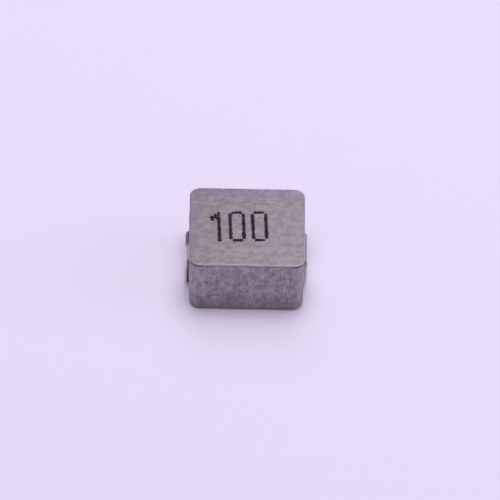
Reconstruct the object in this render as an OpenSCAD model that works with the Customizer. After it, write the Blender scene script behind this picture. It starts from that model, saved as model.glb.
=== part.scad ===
// Moulded power inductor, 0420 size. A flat-wire winding is pressed into a block of iron-alloy
// powder, which is its core and its shield. Each wire end is welded to a tinned strip that leaves
// the block at the parting line and folds down the side and under the base.
// The origin is the middle of the footprint, on the board. X runs from terminal to terminal.

/* [Body] */
// Length of the block from side to side, at the parting line
body_l = 4.16; // [4.1:0.02:4.16]
// Width of the block along the terminals' edges, at the parting line
body_w = 4.2; // [4.0:0.05:4.5]
// Height of the whole part above the board
part_h = 2.15; // [2.1:0.05:2.4]
// Height of the base above the board
base_z = 0.03; // [0.02:0.01:0.07]
// Height of the parting line, where the strips leave the block
parting_z = 1.2; // [1.15:0.05:1.3]
// Radius of the upright corners
corner_r = 0.5; // [0.3:0.05:0.6]
// How far a wall leans in from the parting line to its top
top_draft = 0.02; // [0.01:0.01:0.04]
// How far a wall leans in from the parting line to its foot, which keeps it clear of the strips
base_draft = 0.05; // [0.03:0.01:0.06]
// Bevel round the top face
top_bevel = 0.05; // [0.03:0.01:0.08]
// Depth of the undercut below that bevel, left by the upper punch
lip = 0.02; // [0.01:0.01:0.03]
// Bevel round the base
base_bevel = 0.08; // [0.05:0.01:0.12]

/* [Terminals] */
// Length over both terminals
overall_l = 4.4; // [4.38:0.02:4.5]
// Thickness of the strip
strip_t = 0.1; // [0.08:0.01:0.1]
// Width of the strip
strip_w = 1.5; // [1.3:0.1:1.8]
// Length of the foot under the base, from the outer face of the leg
foot_l = 0.8; // [0.6:0.05:1.0]
// Inner radius of the bend where the strip leaves the block
exit_bend = 0.05; // [0.03:0.01:0.08]
// Inner radius of the bend at the foot
foot_bend = 0.1; // [0.08:0.01:0.14]
// Inner radius of the fold at the welding ear
ear_bend = 0.05; // [0.04:0.01:0.08]
// Width of the welding ear
ear_w = 0.4; // [0.3:0.05:0.4]
// Height of the ear's flat face
ear_h = 0.37; // [0.2:0.01:0.38]

/* [Winding] */
// Thickness of the flat wire
wire_t = 0.115; // [0.09:0.005:0.12]
// Width of the flat wire, which is the height of one layer
wire_w = 0.46; // [0.4:0.02:0.48]
// Step from one turn to the next, with its enamel
pitch = 0.14; // [0.13:0.005:0.14]
// Radius of the innermost turn, at the middle of the wire
inner_r = 0.8; // [0.7:0.05:0.8]
// Clear height between the two layers
layer_gap = 0.04; // [0.02:0.01:0.06]
// Length of the straight lead past the last turn
lead_l = 0.62; // [0.6:0.02:0.8]

/* [Hidden] */
$fn = 96;

// Half turns in each layer: an odd number ends on the left, an even number on the right.
lower_half_turns = 9;
upper_half_turns = 8;
step = pitch / 2;
lower_z = parting_z - layer_gap / 2 - wire_w;
upper_z = parting_z + layer_gap / 2;
lead_x = inner_r + upper_half_turns * step;

flash = 0.02;
lip_band = 0.03;
corner_x = body_l / 2 - corner_r;
corner_y = body_w / 2 - corner_r;

leg_x = overall_l / 2 - strip_t / 2;
tab_x = 1.6;
ear_x = lead_x + wire_t / 2 + strip_t / 2;
ear_y = -0.2;

pocket_play = 0.05;
pocket_end = 0.02;
relief_x = leg_x - strip_t / 2 - foot_bend - 0.04;

lead_room = wire_t + pitch;
crossover_run = 0.4;
crossover_x = inner_r - wire_t / 2 + 0.05;

// Section of the wall outside a corner's centre line, from the base up to the top face.
wall = [
    [0, base_z],
    [corner_r - base_draft - base_bevel, base_z],
    [corner_r - base_draft, base_z + base_bevel],
    [corner_r - flash, parting_z - flash],
    [corner_r, parting_z],
    [corner_r - flash, parting_z + flash],
    [corner_r - top_draft - lip, part_h - top_bevel - lip_band - lip],
    [corner_r - top_draft, part_h - top_bevel - lip_band],
    [corner_r - top_draft, part_h - top_bevel],
    [corner_r - top_draft - top_bevel, part_h],
    [0, part_h]
];

// The same section on both sides of the block, out from corner centres that lie at +/- reach.
function block_section(reach) = concat(
    [for (p = wall) [reach + p[0], p[1]]],
    [for (i = [len(wall) - 1 : -1 : 0]) [-reach - wall[i][0], wall[i][1]]]
);

// A spiral as a run of half turns, each a step wider than the last, with a straight lead at its end.
function spiral(half_turns, turn) = concat(
    [for (k = [0 : half_turns - 1]) [0, turn, inner_r + k * step]],
    [[lead_l, 0, 0]]
);

// One bend of a strip that stands on edge, from the origin on along +X; left is positive.
module bend(turn, radius, thick, wide) {
    translate([0, turn > 0 ? radius : -radius, 0])
        rotate(turn > 0 ? -90 : 90 + turn)
            rotate_extrude(angle = abs(turn))
                translate([radius - thick / 2, 0])
                    square([thick, wide]);
}

// A strip on edge that follows a run of [straight length, turn, radius of the turn's middle line].
module bent_strip(run, thick, wide, i = 0) {
    if (i < len(run)) {
        straight = run[i][0];
        turn = run[i][1];
        radius = run[i][2];
        if (straight > 0)
            translate([0, -thick / 2, 0])
                cube([straight, thick, wide]);
        translate([straight, 0, 0]) {
            if (turn != 0)
                bend(turn, radius, thick, wide);
            translate([radius * sin(abs(turn)), sign(turn) * radius * (1 - cos(turn)), 0])
                rotate(turn)
                    bent_strip(run, thick, wide, i + 1);
        }
    }
}

// The ribbon that drops from the upper layer to the lower one, inside the innermost turn.
module crossover() {
    reach = crossover_run / 2;
    translate([crossover_x, 0, 0])
        rotate([90, 0, -90])
            linear_extrude(wire_t)
                polygon([
                    [-reach, lower_z],
                    [reach, upper_z],
                    [reach, upper_z + wire_w],
                    [-reach, lower_z + wire_w]
                ]);
}

module winding() {
    color([0.72, 0.42, 0.2]) {
        translate([inner_r, 0, lower_z])
            rotate(90)
                bent_strip(spiral(lower_half_turns, 180), wire_t, wire_w);
        translate([inner_r, 0, upper_z])
            rotate(-90)
                bent_strip(spiral(upper_half_turns, -180), wire_t, wire_w);
        crossover();
    }
}

// Half a cylinder of the given radius, on one side of Y = 0.
module half_cylinder(radius, centre_x, side, height) {
    translate([centre_x, 0, 0])
        rotate(side > 0 ? 0 : 180)
            rotate_extrude(angle = 180)
                square([radius, height]);
}

// The space that the winding fills: the outline of both layers together, round the core's middle
// post, with room for the two leads and the crossover.
module winding_space() {
    outer_r = lead_x + wire_t / 2;
    height = upper_z + wire_w - lower_z;
    translate([0, 0, lower_z]) {
        difference() {
            union() {
                half_cylinder(outer_r, 0, 1, height);
                half_cylinder(outer_r - step, step, -1, height);
                for (x = [-outer_r, outer_r - lead_room])
                    translate([x, -lead_l, 0])
                        cube([lead_room, lead_l, height]);
            }
            cylinder(h = height, r = inner_r - wire_t / 2);
        }
        translate([crossover_x - wire_t, -crossover_run / 2, 0])
            cube([wire_t, crossover_run, height]);
    }
}

// The recess in the base that a foot lies in, bevelled at its mouth so that it clears the bend.
module foot_pocket() {
    end_x = overall_l / 2 - foot_l - pocket_end;
    mouth = overall_l / 2 - relief_x;
    translate([0, strip_w / 2 + pocket_play, 0])
        rotate([90, 0, 0])
            linear_extrude(strip_w + 2 * pocket_play)
                polygon([
                    [end_x, 0],
                    [end_x, strip_t],
                    [relief_x, strip_t],
                    [relief_x + mouth, strip_t + mouth],
                    [relief_x + mouth, 0]
                ]);
}

module block() {
    for (x = [-corner_x, corner_x], y = [-corner_y, corner_y])
        translate([x, y, 0])
            rotate_extrude()
                polygon(wall);
    translate([0, corner_y, 0])
        rotate([90, 0, 0])
            linear_extrude(2 * corner_y)
                polygon(block_section(corner_x));
    translate([-corner_x, 0, 0])
        rotate([90, 0, 90])
            linear_extrude(2 * corner_x)
                polygon(block_section(corner_y));
}

module moulded_body() {
    color([0.55, 0.52, 0.55])
        difference() {
            block();
            winding_space();
            for (side = [0, 1])
                mirror([side, 0, 0])
                    foot_pocket();
            strip(1);
            mirror([1, 0, 0])
                strip(-1);
        }
}

// The right-hand strip. Its ear turns up (1) or down (-1) at the tab's inner end.
module strip(ear_side) {
    fold_r = ear_bend + strip_t / 2;
    exit_r = exit_bend + strip_t / 2;
    foot_r = foot_bend + strip_t / 2;
    leg = parting_z - exit_r - foot_r - strip_t / 2;
    translate([tab_x, 0, parting_z]) {
        translate([0, strip_w / 2, 0])
            rotate([90, 0, 0])
                bent_strip([
                    [leg_x - exit_r - tab_x, -90, exit_r],
                    [leg, -90, foot_r],
                    [foot_l - strip_t / 2 - foot_r, 0, 0]
                ], strip_t, strip_w);
        translate([0, ear_y, 0])
            rotate([90, 0, 0])
                rotate(180)
                    bent_strip([
                        [tab_x - ear_x - fold_r, -90 * ear_side, fold_r],
                        [ear_h, 0, 0]
                    ], strip_t, ear_w);
    }
}

module left_terminal() {
    color([0.8, 0.8, 0.82])
        mirror([1, 0, 0])
            strip(-1);
}

module right_terminal() {
    color([0.8, 0.8, 0.82])
        strip(1);
}

moulded_body();
winding();
left_terminal();
right_terminal();
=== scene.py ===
import math
import random

import bmesh
import bpy
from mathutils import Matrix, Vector


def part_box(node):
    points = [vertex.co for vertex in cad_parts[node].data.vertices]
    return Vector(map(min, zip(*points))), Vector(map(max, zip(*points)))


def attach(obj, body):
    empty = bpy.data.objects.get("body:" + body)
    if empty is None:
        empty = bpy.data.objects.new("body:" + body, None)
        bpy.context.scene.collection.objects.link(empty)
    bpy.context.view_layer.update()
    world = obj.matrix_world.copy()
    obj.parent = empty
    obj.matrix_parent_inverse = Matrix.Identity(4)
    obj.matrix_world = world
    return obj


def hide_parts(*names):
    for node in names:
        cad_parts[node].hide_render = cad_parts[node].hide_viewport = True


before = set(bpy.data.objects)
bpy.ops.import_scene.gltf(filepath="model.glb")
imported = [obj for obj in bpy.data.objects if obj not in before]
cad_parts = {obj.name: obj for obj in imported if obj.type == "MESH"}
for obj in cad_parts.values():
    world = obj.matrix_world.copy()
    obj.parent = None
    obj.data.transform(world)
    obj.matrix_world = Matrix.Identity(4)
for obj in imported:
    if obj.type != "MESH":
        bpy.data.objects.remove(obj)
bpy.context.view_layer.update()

toMm = 1000.0            # pieces are modelled in millimetres and brought to metres when they are done


def boxMm(node):
    low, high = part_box(node)
    return low * toMm, high * toMm


def deselectAll():
    if bpy.context.object and bpy.context.object.mode != "OBJECT":
        bpy.ops.object.mode_set(mode="OBJECT")
    bpy.ops.object.select_all(action="DESELECT")


def makeActive(piece):
    deselectAll()
    piece.select_set(True)
    bpy.context.view_layer.objects.active = piece


def edit(mode="VERT"):
    bpy.ops.object.mode_set(mode="EDIT")
    bpy.ops.mesh.select_mode(type=mode)


def leaveEdit():
    bpy.ops.object.mode_set(mode="OBJECT")


def pick(piece, kind, test):
    # selects the verts, edges or faces of the piece in edit mode that pass the test
    bpy.ops.mesh.select_all(action="DESELECT")
    cage = bmesh.from_edit_mesh(piece.data)
    for part in getattr(cage, kind):
        if test(part):
            part.select = True
    cage.select_flush_mode()
    bmesh.update_edit_mesh(piece.data)


def applyModifier(piece, kind, **values):
    makeActive(piece)
    modifier = piece.modifiers.new(kind.lower(), kind)
    for name, value in values.items():
        setattr(modifier, name, value)
    bpy.ops.object.modifier_apply(modifier=modifier.name)


def finishPiece(piece, name, material, smoothAngle=40):
    # from millimetres to metres, place and scale into the mesh, smooth shading, one material
    makeActive(piece)
    piece.scale = (1 / toMm,) * 3
    piece.location = piece.location / toMm
    bpy.ops.object.transform_apply(location=True, rotation=True, scale=True)
    bpy.ops.object.shade_smooth_by_angle(angle=math.radians(smoothAngle))
    piece.name = piece.data.name = name
    piece.data.materials.clear()
    piece.data.materials.append(material)
    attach(piece, "root")
    return piece


mixSocket = {"factor": 0, "first": 6, "second": 7, "result": 2}     # where a Mix node keeps its colours


def shade(colour, factor):
    return (*(value * factor for value in colour), 1)


class shaderValue:
    # a socket that takes part in Python sums; each sum adds its Math node
    def __init__(self, tree, socket):
        self.tree = tree
        self.socket = socket

    def node(self, kind, settings, sockets, output=0):
        made = self.tree.nodes.new(kind)
        for name, value in settings.items():
            setattr(made, name, value)
        for name, value in sockets.items():
            if isinstance(value, shaderValue):
                self.tree.links.new(value.socket, made.inputs[name])
            else:
                made.inputs[name].default_value = value
        return shaderValue(self.tree, made.outputs[output])

    def maths(self, operation, first, second=0.0):
        return self.node("ShaderNodeMath", {"operation": operation}, {0: first, 1: second})

    def __add__(self, other):
        return self.maths("ADD", self, other)

    __radd__ = __add__

    def __sub__(self, other):
        return self.maths("SUBTRACT", self, other)

    def __rsub__(self, other):
        return self.maths("SUBTRACT", other, self)

    def __mul__(self, other):
        return self.maths("MULTIPLY", self, other)

    __rmul__ = __mul__

    def __abs__(self):
        return self.maths("ABSOLUTE", self)

    def larger(self, other):
        return self.maths("MAXIMUM", self, other)

    def smooth(self, low, high):
        # 0 below low, 1 above high, eased in between; low may be the larger of the two
        sockets = {"Value": self, "From Min": min(low, high), "From Max": max(low, high)}
        eased = self.node("ShaderNodeMapRange", {"interpolation_type": "SMOOTHSTEP"}, sockets)
        return eased if low < high else 1 - eased

    def band(self, middle, half, fade):
        # 1 within half of the middle, fading to 0
        return abs(self - middle).smooth(half + fade, half)

    def along(self, axis):
        # one part of a vector: X, Y or Z
        return self.node("ShaderNodeSeparateXYZ", {}, {"Vector": self}, axis)

    def scaled(self, factors):
        return self.node("ShaderNodeVectorMath", {"operation": "MULTIPLY"}, {0: self, 1: factors})

    def noise(self, scale, detail=3.0, roughness=0.55):
        sockets = {"Vector": self, "Scale": scale, "Detail": detail, "Roughness": roughness}
        return self.node("ShaderNodeTexNoise", {}, sockets)

    def cells(self, scale):
        # one even value for each cell of a Voronoi pattern
        colours = self.node("ShaderNodeTexVoronoi", {}, {"Vector": self, "Scale": scale}, "Color")
        return self.node("ShaderNodeSeparateColor", {}, {"Color": colours}, "Red")

    def mixed(self, first, second):
        # a colour from first to second as this value goes from 0 to 1
        sockets = {mixSocket["factor"]: self, mixSocket["first"]: first, mixSocket["second"]: second}
        settings = {"data_type": "RGBA", "clamp_factor": True}
        return self.node("ShaderNodeMix", settings, sockets, mixSocket["result"])

    def shades(self, colour, low, high):
        return self.mixed(shade(colour, low), shade(colour, high))


class surfaceLook:
    # a material with its object coordinates in millimetres, and its Principled shader
    def __init__(self, name):
        self.material = bpy.data.materials.new(name)
        self.material.use_nodes = True
        self.tree = self.material.node_tree
        self.shader = self.tree.nodes["Principled BSDF"]
        self.start = shaderValue(self.tree, None)
        self.place = self.start.node("ShaderNodeTexCoord", {}, {}, "Object").scaled((toMm,) * 3)
        self.x, self.y, self.z = (self.place.along(axis) for axis in "XYZ")
        self.normalX = self.start.node("ShaderNodeNewGeometry", {}, {}, "Normal").along("X")

    def set(self, **values):
        # underscores stand for the blanks in a socket's name
        for name, value in values.items():
            socket = self.shader.inputs[name.replace("_", " ")]
            if isinstance(value, shaderValue):
                self.tree.links.new(value.socket, socket)
            else:
                socket.default_value = value

    def bump(self, height, depthMm, strength=1.0):
        sockets = {"Height": height, "Distance": depthMm / toMm, "Strength": strength}
        self.set(Normal=self.start.node("ShaderNodeBump", {}, sockets))


powder = {
    "topGrey": (0.295, 0.261, 0.243),
    "topWarm": (0.301, 0.273, 0.222),
    # the next colour is painted shade along the top's back and left edges
    "topShadedEdge": (0.278, 0.261, 0.282),
    "sideGrey": (0.353, 0.302, 0.328),
    "sideCool": (0.338, 0.322, 0.344),
    "topShades": (0.78, 1.22),         # darkest and lightest, against the colours above
    "sideShades": (0.56, 1.48),
    "grainScale": 11.0,                # the larger the scale, the finer the pattern
    "cloudScale": 4.5,
    "speckScale": 15.0,
    "patchScale": 0.9,
    "coolScale": 1.7,
    "brushed": (1.3, 12.0, 3.0),       # rubbing marks along X, on the top
    "drawn": (13.0, 13.0, 1.4),        # marks up the walls, from the die
    "shadedBack": (1.45, 1.75),          # the top is painted cooler and darker, as shade, between these places along Y,
    "shadedLeft": (-1.74, -1.90),        # between these along X,
    "shadedCorner": (3.20, 3.50),        # and between these sums of both, all in mm
    "cornerHighlightBand": (3.68, 3.88),      # the walls' upright corners get a painted highlight between these sums
    "underRimShadowColour": 0.16,             # colour of the painted shadow line under the rim, against the wall's
    "metal": 0.20,
    "speckMetal": 0.30,
    "roughTop": 0.50,
    "roughSide": 0.60,
    "roughRim": 0.34,
    "bumpMm": 0.010,
}


def brightSpecks(speck):
    return speck.smooth(0.90, 0.98)


def powderTop(look, grain, clouds):
    # rubbed along X, with warm patches in the middle, painted light growing towards the right and front,
    # and painted shade along the back and left edges
    place, x, y = look.place, look.x, look.y
    brushed = place.scaled(powder["brushed"]).noise(1.0).smooth(0.32, 0.68)
    patches = place.noise(powder["patchScale"], 2.0).smooth(0.40, 0.62)
    # the last sum is painted light: the top grows lighter towards the right and the front
    tone = brushed * 0.40 + grain * 0.54 + clouds * 0.62 + (x * 0.12 - y * 0.056 - 0.31)
    corners = (abs(x) + abs(y)).smooth(*powder["shadedCorner"]) * y.smooth(-1.0, 0.5)
    # painted shade along the back and left edges of the top, away from the light
    shadedOutline = y.smooth(*powder["shadedBack"]).larger(x.smooth(*powder["shadedLeft"])).larger(corners)
    grey, warm, cool = (tone.shades(powder[name], *powder["topShades"])
                        for name in ("topGrey", "topWarm", "topShadedEdge"))
    colour = (shadedOutline * 0.75).mixed((patches * 0.6).mixed(grey, warm), cool)
    return colour, grain * 0.45 + brushed * 0.35


def powderWall(look, grain, clouds, speck, rim, baseZ, lipZ):
    # drawn up by the die and specked, with painted highlights on the upright corners and high on the
    # wall, painted shade low down and a painted shadow line under the rim
    place, x, z = look.place, look.x, look.z
    grey, cool = powder["sideGrey"], powder["sideCool"]
    diagonal = abs(x) + abs(look.y)
    drawn = place.scaled(powder["drawn"]).noise(1.0, 2.0).smooth(0.34, 0.66)
    coolPatches = place.noise(powder["coolScale"], 2.0).smooth(0.42, 0.60)
    dark = speck.smooth(0.16, 0.04)
    tone = clouds * 0.48 + grain * 0.34 + drawn * 0.28 - 0.04
    colour = (coolPatches * 0.45).mixed(
        tone.shades(grey, *powder["sideShades"]), tone.shades(cool, *powder["sideShades"]))
    colour = (brightSpecks(speck) * 0.30).mixed(colour, shade(grey, 1.9))
    colour = (dark * 0.45).mixed(colour, shade(grey, 0.45))

    # painted highlight on the upright corners, cooler on the left and warmer on the right
    cornerHighlight = x.smooth(-0.5, 0.5).mixed(shade(cool, 1.43), shade(grey, 1.28))
    colour = (diagonal.smooth(*powder["cornerHighlightBand"]) * 0.34).mixed(colour, cornerHighlight)
    # painted light: the wall grows lighter up towards the rim
    colour = (z.smooth(lipZ - 0.50, lipZ - 0.05) * 0.10).mixed(colour, shade(grey, 2.0))
    # painted shade: the wall grows darker down towards its foot
    colour = (z.smooth(baseZ + 1.15, baseZ + 0.05) * 0.30).mixed(colour, shade(grey, 0.25))

    # a painted shadow line just under the rim's lip, and a wider one at the rounded corners
    atCorner = diagonal.smooth(3.50, 3.72)
    underRimShadow = z.band(lipZ - 0.012 - atCorner * 0.012, 0.015, 0.012) * (0.56 + atCorner * 0.36)
    cornerShadowLine = z.band(lipZ - 0.026, 0.026, 0.010) * atCorner
    colour = underRimShadow.larger(cornerShadowLine).mixed(colour, shade(grey, powder["underRimShadowColour"]))
    # the rim is painted as a highlight, with painted shade where it faces left, away from the light
    facesLeft = look.normalX.smooth(-0.05, -0.40)
    rimPaintedLight = facesLeft.mixed(shade(powder["topGrey"], 1.55), shade(cool, 0.95))
    relief = (grain * 0.9 - dark * 0.6 + drawn * 0.35) * (1 - rim * 0.7)
    return (rim * 0.9).mixed(colour, rimPaintedLight), relief


def pressedPowder(baseZ, topZ, lipZ):
    look = surfaceLook("pressedPowder")
    onTop = look.z.smooth(topZ - 0.020, topZ - 0.004)
    rim = look.z.smooth(lipZ - 0.002, lipZ + 0.008)
    clouds = look.place.noise(powder["cloudScale"]).smooth(0.34, 0.66)
    grain = look.place.noise(powder["grainScale"], 4.0, 0.62).smooth(0.30, 0.70)
    speck = look.place.cells(powder["speckScale"])
    topColour, topRelief = powderTop(look, grain, clouds)
    wallColour, wallRelief = powderWall(look, grain, clouds, speck, rim, baseZ, lipZ)
    smoother = onTop * (powder["roughSide"] - powder["roughTop"])
    smoother = smoother + rim * (1 - onTop) * (powder["roughSide"] - powder["roughRim"])
    look.set(
        Base_Color=onTop.mixed(wallColour, topColour),
        Roughness=powder["roughSide"] + grain * 0.10 - smoother,
        Metallic=powder["metal"] + brightSpecks(speck) * powder["speckMetal"],
    )
    look.bump(topRelief * onTop + wallRelief * (1 - onTop), powder["bumpMm"])
    return look.material


tin = {
    "colour": (0.80, 0.78, 0.79),
    "cutColour": (0.50, 0.44, 0.42, 1),     # copper shows through at the cut edges
    # colour of the left strip's dark patch and of the painted shade at the strips' roots
    "darkRootColour": (0.055, 0.045, 0.055, 1),
    "roughness": 0.36,
    "darkPatchMiddle": 0.38,     # the left strip is darker at its root, round this place along Y
    "darkPatchHalf": 0.26,
    "rootShade": 0.05,       # how far painted shade at the root reaches from the block's wall along each tab
    "bumpMm": 0.006,
}


def tinPlate(halfWidth, exitZ, wallX):
    look = surfaceLook("tinPlate")
    place = look.place
    stain = place.noise(3.0).smooth(0.40, 0.68)
    drawn = place.scaled((4.0, 30.0, 4.0)).noise(1.0)
    root = look.z.smooth(exitZ - 0.30, exitZ - 0.02)
    ragged = look.y + place.noise(4.0, 2.0) * 0.3 - 0.15
    onLeft = look.x.smooth(0.1, -0.1)
    # a dark patch on the left strip's root
    darkPatch = root * onLeft * ragged.band(tin["darkPatchMiddle"], tin["darkPatchHalf"], 0.30)
    shadeX = wallX + tin["rootShade"]
    # painted shade in the crease where each strip leaves the block
    rootCreaseShade = root * abs(look.x).smooth(shadeX + 0.03, shadeX)
    cutEdge = abs(look.y).smooth(halfWidth - 0.012, halfWidth - 0.004)
    colour = (stain * 0.26).mixed(shade(tin["colour"], 1.0), shade(tin["colour"], 0.62))
    colour = (cutEdge * 0.25).mixed(colour, tin["cutColour"])
    # the left strip's dark patch, together with the painted crease shade
    patchAndCreaseShade = (darkPatch * 0.80).larger(rootCreaseShade * (0.50 - onLeft * 0.25))
    colour = patchAndCreaseShade.mixed(colour, tin["darkRootColour"])
    look.set(
        Base_Color=colour,
        Metallic=1 - patchAndCreaseShade * 0.6,
        Roughness=tin["roughness"] + stain * 0.14 + drawn * 0.10 + patchAndCreaseShade * 0.2,
    )
    look.bump(drawn * 0.5 + place.noise(14.0) * 0.5, tin["bumpMm"])
    return look.material


enamel = {
    "darkCopper": (0.55, 0.20, 0.08, 1),
    "paleCopper": (0.66, 0.29, 0.12, 1),
    "roughness": 0.30,
    "coat": 0.6,
    "coatRoughness": 0.12,
}


def enamelledCopper():
    look = surfaceLook("enamelledCopper")
    tint = look.place.noise(2.5, 2.0).smooth(0.35, 0.65)
    look.set(
        Base_Color=tint.mixed(enamel["darkCopper"], enamel["paleCopper"]),
        Metallic=1.0,
        Roughness=enamel["roughness"] + look.place.noise(12.0, 2.0) * 0.12,
        Coat_Weight=enamel["coat"],
        Coat_Roughness=enamel["coatRoughness"],
    )
    return look.material


burnt = {
    "black": (0.014, 0.009, 0.015, 1),
    "brown": (0.052, 0.030, 0.036, 1),
    "roughness": 0.9,
    "bumpMm": 0.008,
}


def burntMark():
    look = surfaceLook("burntMark")
    char = look.place.noise(9.0).smooth(0.35, 0.68)
    look.set(
        Base_Color=char.mixed(burnt["black"], burnt["brown"]),
        Roughness=burnt["roughness"],
        Specular_IOR_Level=0.25,
    )
    look.bump(look.place.noise(30.0), burnt["bumpMm"])
    return look.material


block = {
    "cornerRadius": 0.50,
    "cornerSteps": 17,
    "endTrim": 0.015,        # taken off each of the two ends that the strips lie against
    "punchEase": 90,         # smoothing passes that round the top's corners more than the wall's
    "cellSize": 0.037,       # spacing of the mesh that the grain is raised on
    "topLean": 0.02,         # how far the wall leans in from the parting line up to its top
    "footLean": 0.05,        # and down to its foot
    "seam": 0.010,           # height of the faint ridge along the parting line
    "rimHeight": 0.05,       # the rolled edge of the top
    "rimWidth": 0.11,
    "lipBand": 0.03,
    "lip": 0.022,
    "baseBevel": 0.08,
    "grainMm": 0.020,        # how far the grain, swells and pits stand out, and how wide they are
    "grainSize": 0.10,
    "swellMm": 0.012,
    "swellSize": 0.55,
    "pitMm": 0.022,
    "pitSize": 0.28,
    "pitEdge": (0.02, 0.14),     # from a pit's floor to its brim
    "rimGrain": 0.12,        # the share of it that the rim and the top have
    "baseGrain": 0.5,
}


def blockRows(low, high, partingZ):
    # the rings up the wall as (height, distance in from the parting line's outline),
    # and which one starts the rim
    baseZ, topZ = low.z, high.z
    seam, lip, base = block["seam"], block["lip"], block["baseBevel"]
    topLean, footLean = block["topLean"], block["footLean"]
    rimZ = topZ - block["rimHeight"]
    lipZ = rimZ - block["lipBand"]
    underZ = lipZ - lip
    rows = []

    def arc(fromZ, fromIn, tall, wide, start, steps):
        # a quarter round about a centre that lies its width in from the wall
        for step in range(steps + 1):
            turn = math.radians(start + 90 * step / steps)
            rows.append((fromZ + tall * math.sin(turn), fromIn + wide * (1 - math.cos(turn))))

    def run(fromZ, toZ, fromIn, toIn):
        steps = max(1, round((toZ - fromZ) / block["cellSize"]))
        for step in range(1, steps + 1):
            share = step / steps
            rows.append((fromZ + (toZ - fromZ) * share, fromIn + (toIn - fromIn) * share))

    arc(baseZ + base, footLean, base, base, -90, 5)
    run(baseZ + base, partingZ - seam, footLean, seam)
    rows.append((partingZ, 0.0))
    rows.append((partingZ + seam, seam))
    run(partingZ + seam, underZ - 0.014, seam, topLean)
    rimStart = len(rows)
    rows.append((underZ, topLean + lip * 0.7))
    rows.append((underZ + 0.010, topLean + lip))
    rows.append((lipZ - 0.004, topLean + lip * 0.8))
    rows.append((lipZ + 0.004, topLean + 0.002))
    rows.append((rimZ - 0.004, topLean))
    arc(rimZ, topLean, block["rimHeight"], block["rimWidth"], 0, 7)
    return rows, rimStart


def makeBlock(material, partingZ):
    low, high = boxMm("moulded_body")
    size = high - low
    size.x -= 2 * block["endTrim"]
    rows, rimStart = blockRows(low, high, partingZ)
    firstZ, firstIn = rows[0]
    deselectAll()
    bpy.ops.mesh.primitive_plane_add(size=1, location=(0, 0, firstZ))
    piece = bpy.context.object
    piece.scale = (size.x - 2 * firstIn, size.y - 2 * firstIn, 1)
    bpy.ops.object.transform_apply(location=True, rotation=True, scale=True)
    edit()
    bpy.ops.mesh.select_all(action="SELECT")
    radius = block["cornerRadius"] - firstIn
    bpy.ops.mesh.bevel(offset=radius, segments=block["cornerSteps"], affect="VERTICES")
    pick(piece, "edges", lambda edge: edge.calc_length() > 1)
    straight = size.x - 2 * block["cornerRadius"]
    bpy.ops.mesh.subdivide(number_cuts=round(straight / block["cellSize"]) - 1)
    bpy.ops.mesh.select_all(action="SELECT")
    bpy.ops.mesh.delete(type="ONLY_FACE")
    edit("EDGE")
    bpy.ops.mesh.select_all(action="SELECT")
    lastZ, lastIn = firstZ, firstIn
    for number, (ringZ, ringIn) in enumerate(rows[1:], 1):
        bpy.ops.mesh.extrude_edges_move(TRANSFORM_OT_translate={"value": (0, 0, ringZ - lastZ)})
        across = (size.x / 2 - ringIn) / (size.x / 2 - lastIn)
        along = (size.y / 2 - ringIn) / (size.y / 2 - lastIn)
        bpy.ops.transform.resize(value=(across, along, 1), center_override=(0, 0, 0))
        lastZ, lastIn = ringZ, ringIn
        if number == rimStart:
            bpy.ops.mesh.vertices_smooth(factor=0.5, repeat=block["punchEase"], zaxis=False)
    for capZ in (firstZ, lastZ):
        closeWithGrid(piece, capZ)
    bpy.ops.mesh.select_all(action="SELECT")
    bpy.ops.mesh.normals_make_consistent(inside=False)
    leaveEdit()
    roughen(piece, low, high)
    for side in (-1, 1):
        cutPocket(piece, side)
    applyModifier(piece, "TRIANGULATE", min_vertices=5)      # the many-sided faces that the cuts leave
    return finishPiece(piece, "mouldedBody", material, 60)


def closeWithGrid(piece, capZ):
    # fills an open ring with a grid whose corners lie in the middle of the rounded corners
    bpy.ops.mesh.select_all(action="DESELECT")
    cage = bmesh.from_edit_mesh(piece.data)
    ring = [vert for vert in cage.verts if abs(vert.co.z - capZ) < 1e-4]
    for vert in ring:
        vert.select = True
    for edge in cage.edges:
        if edge.is_boundary and all(vert.select for vert in edge.verts):
            edge.select = True
    corner = max(ring, key=lambda vert: vert.co.x + vert.co.y)
    cage.select_history.clear()
    cage.select_history.add(corner)
    bmesh.update_edit_mesh(piece.data)
    bpy.ops.mesh.fill_grid(span=len(ring) // 4, offset=0)


def weightGroup(piece, name, weigh):
    group = piece.vertex_groups.new(name=name)
    for vert in piece.data.vertices:
        group.add([vert.index], weigh(vert), "REPLACE")
    return group.name


def roughen(piece, low, high):
    # raises the grain, slow swells and small pits of pressed powder in the mesh itself
    rimZ = high.z - block["rimHeight"] - block["lipBand"] - block["lip"]

    def wallWeight(vert):
        if vert.co.z > rimZ - 0.02:
            return block["rimGrain"]
        return 1.0 if low.z + 0.02 < vert.co.z else block["baseGrain"]

    wall = weightGroup(piece, "wall", wallWeight)
    grain = bpy.data.textures.new("powderGrain", "CLOUDS")
    grain.noise_scale = block["grainSize"]
    grain.noise_depth = 2
    swell = bpy.data.textures.new("powderSwell", "CLOUDS")
    swell.noise_scale = block["swellSize"]
    pits = bpy.data.textures.new("powderPits", "VORONOI")
    pits.noise_scale = block["pitSize"]
    pits.use_color_ramp = True
    for element, place, level in zip(pits.color_ramp.elements, block["pitEdge"], (0, 1)):
        element.color = (level, level, level, 1)
        element.position = place
    for texture, height, middle in (
            (grain, block["grainMm"], 0.5), (swell, block["swellMm"], 0.5), (pits, block["pitMm"], 1.0)):
        applyModifier(
            piece, "DISPLACE", texture=texture, strength=height, mid_level=middle, vertex_group=wall)
    piece.vertex_groups.clear()


pocket = {
    "footLength": 0.80,
    "endPlay": 0.02,
    "sidePlay": 0.05,
    "reliefStart": 1.96,     # from here out the pocket's ceiling slopes up, clear of the bend
    "reliefRise": 0.24,
}


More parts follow.
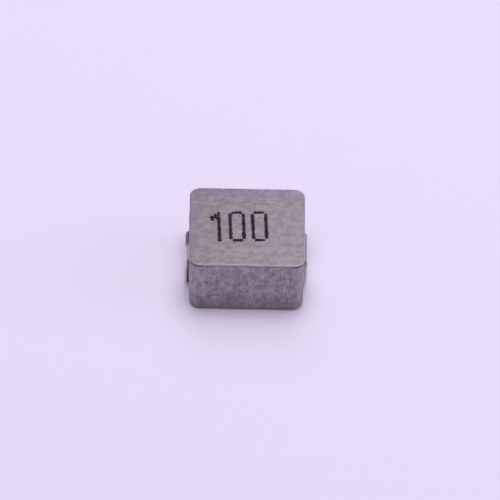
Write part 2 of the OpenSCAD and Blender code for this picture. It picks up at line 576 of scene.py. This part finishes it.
def cutPocket(piece, side):
    # runs before the block is brought to metres
    outerX = boxMm("right_terminal")[1].x
    endX = outerX - pocket["footLength"] - pocket["endPlay"]
    length = pocket["reliefStart"] - endX
    wide = strip["width"] + 2 * pocket["sidePlay"]
    deselectAll()
    bpy.ops.mesh.primitive_cube_add(size=1, location=(endX + length / 2, 0, strip["thick"] / 2 - 0.05))
    cutter = bpy.context.object
    cutter.scale = (length, wide, strip["thick"] + 0.10)
    bpy.ops.object.transform_apply(location=True, rotation=True, scale=True)
    edit("FACE")
    pick(cutter, "faces", lambda face: face.normal.x > 0.9)
    bpy.ops.mesh.extrude_region_move(TRANSFORM_OT_translate={"value": (pocket["reliefRise"], 0, 0)})
    edit("EDGE")
    pick(cutter, "edges", lambda edge: all(
        vert.co.x > pocket["reliefStart"] + 0.01 and vert.co.z > 0 for vert in edge.verts))
    bpy.ops.transform.translate(value=(0, 0, pocket["reliefRise"]))
    if side < 0:
        bpy.ops.mesh.select_all(action="SELECT")
        bpy.ops.transform.resize(value=(-1, 1, 1), center_override=(0, 0, 0))
        bpy.ops.mesh.normals_make_consistent(inside=False)
    leaveEdit()
    applyModifier(piece, "BOOLEAN", object=cutter, operation="DIFFERENCE", solver="EXACT")
    bpy.data.objects.remove(cutter)


strip = {
    "thick": 0.10,
    "width": 1.50,
    "earWidth": 0.40,
    "earY": -0.20,
    "earX": 1.4675,
    "earHeight": 0.37,
    "edgeRound": 0.018,
    "exitBend": 0.05,
    "footBend": 0.10,
    "earBend": 0.05,
    "bendSteps": 9,
    "tabX": 1.60,            # inner end of the part that lies in the block
    "leftLeg": (-0.02, 0.02),     # how far a leg stands out at its head, and how much more at its foot
    "rightLeg": (-0.02, -0.04),
}


def openSection(wide, x, y, z):
    # the strip's rounded cross-section, as an open ring of edges that faces along X
    bpy.ops.mesh.primitive_plane_add(size=1, location=(x, y, z), rotation=(0, math.pi / 2, 0))
    piece = bpy.context.object
    piece.scale = (strip["thick"], wide, 1)
    bpy.ops.object.transform_apply(location=True, rotation=True, scale=True)
    edit()
    bpy.ops.mesh.select_all(action="SELECT")
    bpy.ops.mesh.bevel(offset=strip["edgeRound"], segments=3, affect="VERTICES")
    bpy.ops.mesh.delete(type="ONLY_FACE")
    edit("EDGE")
    bpy.ops.mesh.select_all(action="SELECT")
    return piece


def drawStraight(x, z):
    bpy.ops.mesh.extrude_edges_move(TRANSFORM_OT_translate={"value": (x, 0, z)})


def drawBend(centreX, centreZ, towards):
    bpy.ops.mesh.spin(
        steps=strip["bendSteps"], angle=math.pi / 2, center=(centreX, 0, centreZ), axis=(0, towards, 0))


def closeStrip(piece):
    bpy.ops.mesh.select_all(action="SELECT")
    bpy.ops.mesh.remove_doubles(threshold=1e-5)
    pick(piece, "edges", lambda edge: edge.is_boundary)
    bpy.ops.mesh.edge_face_add()
    bpy.ops.mesh.select_all(action="SELECT")
    bpy.ops.mesh.normals_make_consistent(inside=False)
    leaveEdit()


def makeTerminal(node, side, earTurn, leg, middleZ, material):
    # the section is drawn out of the block, down the side and under the base
    low, high = boxMm(node)
    thick = strip["thick"]
    outerX = max(abs(low.x), abs(high.x))
    footX = min(abs(low.x), abs(high.x))
    standOut, lean = leg
    legX = outerX - thick / 2 + standOut
    exitRadius = strip["exitBend"] + thick / 2
    footRadius = strip["footBend"] + thick / 2
    earRadius = strip["earBend"] + thick / 2
    legTop = middleZ - exitRadius
    legFoot = thick / 2 + footRadius
    deselectAll()
    body = openSection(strip["width"], strip["tabX"], 0, middleZ)
    drawStraight(legX - exitRadius - strip["tabX"], 0)
    drawBend(legX - exitRadius, legTop, -1)
    drawStraight(lean, legFoot - legTop)
    drawBend(legX + lean - footRadius, legFoot, -1)
    drawStraight(footX - (legX + lean - footRadius), 0)
    closeStrip(body)

    # the ear that the winding's lead is welded to, folded up or down inside the block
    deselectAll()
    ear = openSection(strip["earWidth"], strip["tabX"] + 0.04, strip["earY"], middleZ)
    drawStraight(strip["earX"] + earRadius - strip["tabX"] - 0.04, 0)
    drawBend(strip["earX"] + earRadius, middleZ + earTurn * earRadius, -earTurn)
    drawStraight(0, earTurn * strip["earHeight"])
    closeStrip(ear)
    body.select_set(True)
    bpy.context.view_layer.objects.active = body
    bpy.ops.object.join()
    if side < 0:
        edit()
        bpy.ops.mesh.select_all(action="SELECT")
        bpy.ops.transform.resize(value=(-1, 1, 1), center_override=(0, 0, 0))
        bpy.ops.mesh.normals_make_consistent(inside=False)
        leaveEdit()
    name = "leftTerminal" if side < 0 else "rightTerminal"
    return finishPiece(body, name, material, 35)


mark = {
    "text": "100",
    "dotsAcross": 5,
    "dotsUp": 13,
    "pitchX": 0.118,
    "pitchY": 0.125,
    "dotRadius": 0.075,
    "dotSides": 14,
    "rimShare": 0.35,        # width of a dot's rim and of the slope inside it, against its radius
    "slopeShare": 0.20,
    "depth": 0.02,           # thickness of a dot, most of it in the block
    "proud": 0.004,
    "jitter": 0.007,
    "sizes": (0.80, 1.14),
    "glyphStarts": (-1.24, -0.60, 0.20),     # left edge of each glyph from the middle of the top
    "turn": 2.1,                             # degrees that the line is off square
    "seed": 12,
}


def glyphDots(digit):
    # the dots of one digit as (column, row) from its lower left
    last, top = mark["dotsAcross"] - 1, mark["dotsUp"] - 1
    if digit == "1":
        stem = [(2, row) for row in range(top + 1)]
        return stem + [(1, top - 1), (1, top - 2), (0, top - 2), (0, top - 3)]
    sides = [(column, row) for column in (0, last) for row in range(1, top)]
    return sides + [(column, row) for column in range(1, last) for row in (0, top)]


def makeDot(topZ):
    # one burnt spot: a low disc with a hollow in it
    radius, proud, depth = mark["dotRadius"], mark["proud"], mark["depth"]
    deselectAll()
    middle = (0, 0, topZ + proud - depth / 2)
    bpy.ops.mesh.primitive_cylinder_add(
        vertices=mark["dotSides"], radius=radius, depth=depth, location=middle)
    dot = bpy.context.object
    bpy.ops.object.transform_apply(location=True, rotation=True, scale=True)
    edit("FACE")
    pick(dot, "faces", lambda face: face.normal.z > 0.9)
    bpy.ops.mesh.inset(thickness=radius * mark["rimShare"], depth=0)
    bpy.ops.mesh.inset(thickness=radius * mark["slopeShare"], depth=-proud * 0.6)
    leaveEdit()
    return dot


def makeMarking(material, topZ):
    chance = random.Random(mark["seed"])
    first = makeDot(topZ)
    dots = []
    turn = math.radians(mark["turn"])
    middleRow = (mark["dotsUp"] - 1) / 2
    for digit, startX in zip(mark["text"], mark["glyphStarts"]):
        for column, row in glyphDots(digit):
            x = startX + column * mark["pitchX"] + chance.uniform(-1, 1) * mark["jitter"]
            y = (row - middleRow) * mark["pitchY"] + chance.uniform(-1, 1) * mark["jitter"]
            makeActive(first)
            bpy.ops.object.duplicate()
            dot = bpy.context.object
            size = chance.uniform(*mark["sizes"])
            dot.scale = (size, size, 1)
            dot.location.x = x * math.cos(turn) - y * math.sin(turn)
            dot.location.y = x * math.sin(turn) + y * math.cos(turn)
            dots.append(dot)
    bpy.data.objects.remove(first)
    deselectAll()
    for dot in dots:
        dot.select_set(True)
    bpy.context.view_layer.objects.active = dots[0]
    bpy.ops.object.transform_apply(location=True, rotation=True, scale=True)
    bpy.ops.object.join()
    return finishPiece(bpy.context.object, "marking", material, 30)


stageSet = {
    "floorColour": (0.85, 0.85, 0.85, 1),
    "floorSize": 0.6,
    "lightColour": (0.845, 0.772, 1.0),
    "worldStrength": 0.390,
    "lights": {                # place, width and power of each; all of them point at the middle
        "overheadLight": ((-0.012, 0.002, 0.25), 0.17, 0.220),
        "highBackLight": ((0.035, 0.056, 0.236), 0.17, 0.162),
        "lowBackLight": ((0, 0.177, 0.177), 0.14, 0.110),
        "rightLight": ((0.232, 0, 0.094), 0.14, 0.092),
    },
    "mmAcross": 17.84,         # width of the picture at the object
    "distance": 0.450,
    "elevation": 41.0,
    "azimuth": -0.8,
    "roll": 1.65,
    "aim": (0.00012, 0, 0.00104),
}


def makeStage():
    deselectAll()
    bpy.ops.mesh.primitive_plane_add(size=stageSet["floorSize"])
    floor = bpy.context.object
    floor.name = "floor"
    look = surfaceLook("paleFloor")
    look.set(Base_Color=stageSet["floorColour"], Roughness=0.9, Specular_IOR_Level=0.0)
    floor.data.materials.append(look.material)

    world = bpy.data.worlds.new("studio")
    world.use_nodes = True
    background = world.node_tree.nodes["Background"]
    background.inputs["Color"].default_value = (*stageSet["lightColour"], 1)
    background.inputs["Strength"].default_value = stageSet["worldStrength"]
    bpy.context.scene.world = world


def makeLight(name, place, size, power):
    deselectAll()
    bpy.ops.object.light_add(type="AREA", location=place)
    lamp = bpy.context.object
    lamp.name = name
    lamp.data.shape = "DISK"
    lamp.data.size = size
    lamp.data.energy = power
    lamp.data.color = stageSet["lightColour"]
    lamp.rotation_euler = (-Vector(place)).to_track_quat("-Z", "Y").to_euler()


def makeCamera():
    around = math.radians(stageSet["azimuth"])
    up = math.radians(stageSet["elevation"])
    back = Vector((math.sin(around) * math.cos(up), -math.cos(around) * math.cos(up), math.sin(up)))
    aim = Vector(stageSet["aim"])
    deselectAll()
    bpy.ops.object.camera_add(location=aim + back * stageSet["distance"])
    camera = bpy.context.object
    camera.rotation_euler = (-back).to_track_quat("-Z", "Y").to_euler()
    camera.rotation_euler.rotate_axis("Z", math.radians(stageSet["roll"]))
    camera.data.lens = camera.data.sensor_width * stageSet["distance"] * toMm / stageSet["mmAcross"]
    camera.data.clip_start = 0.002
    camera.data.clip_end = 5
    bpy.context.scene.camera = camera


print("stage")
makeStage()
for lightName, (place, size, power) in stageSet["lights"].items():
    makeLight(lightName, place, size, power)
makeCamera()
bpy.context.scene.view_settings.view_transform = "Standard"

print("materials")
bodyLow, bodyHigh = boxMm("moulded_body")
partingZ = boxMm("left_terminal")[1].z - strip["thick"] / 2      # where the strips leave the block
powderLook = pressedPowder(bodyLow.z, bodyHigh.z, bodyHigh.z - block["rimHeight"] - block["lipBand"])
tinLook = tinPlate(strip["width"] / 2, partingZ, bodyHigh.x - block["endTrim"])
markLook = burntMark()

print("moulded body")
body = makeBlock(powderLook, partingZ)
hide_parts("moulded_body")

print("terminals")
leftTerminal = makeTerminal("left_terminal", -1, -1, strip["leftLeg"], partingZ, tinLook)
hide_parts("left_terminal")
rightTerminal = makeTerminal("right_terminal", 1, 1, strip["rightLeg"], partingZ, tinLook)
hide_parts("right_terminal")

print("winding")
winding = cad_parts["winding"]
winding.data.materials.clear()
winding.data.materials.append(enamelledCopper())

print("marking")
makeMarking(markLook, bodyHigh.z)
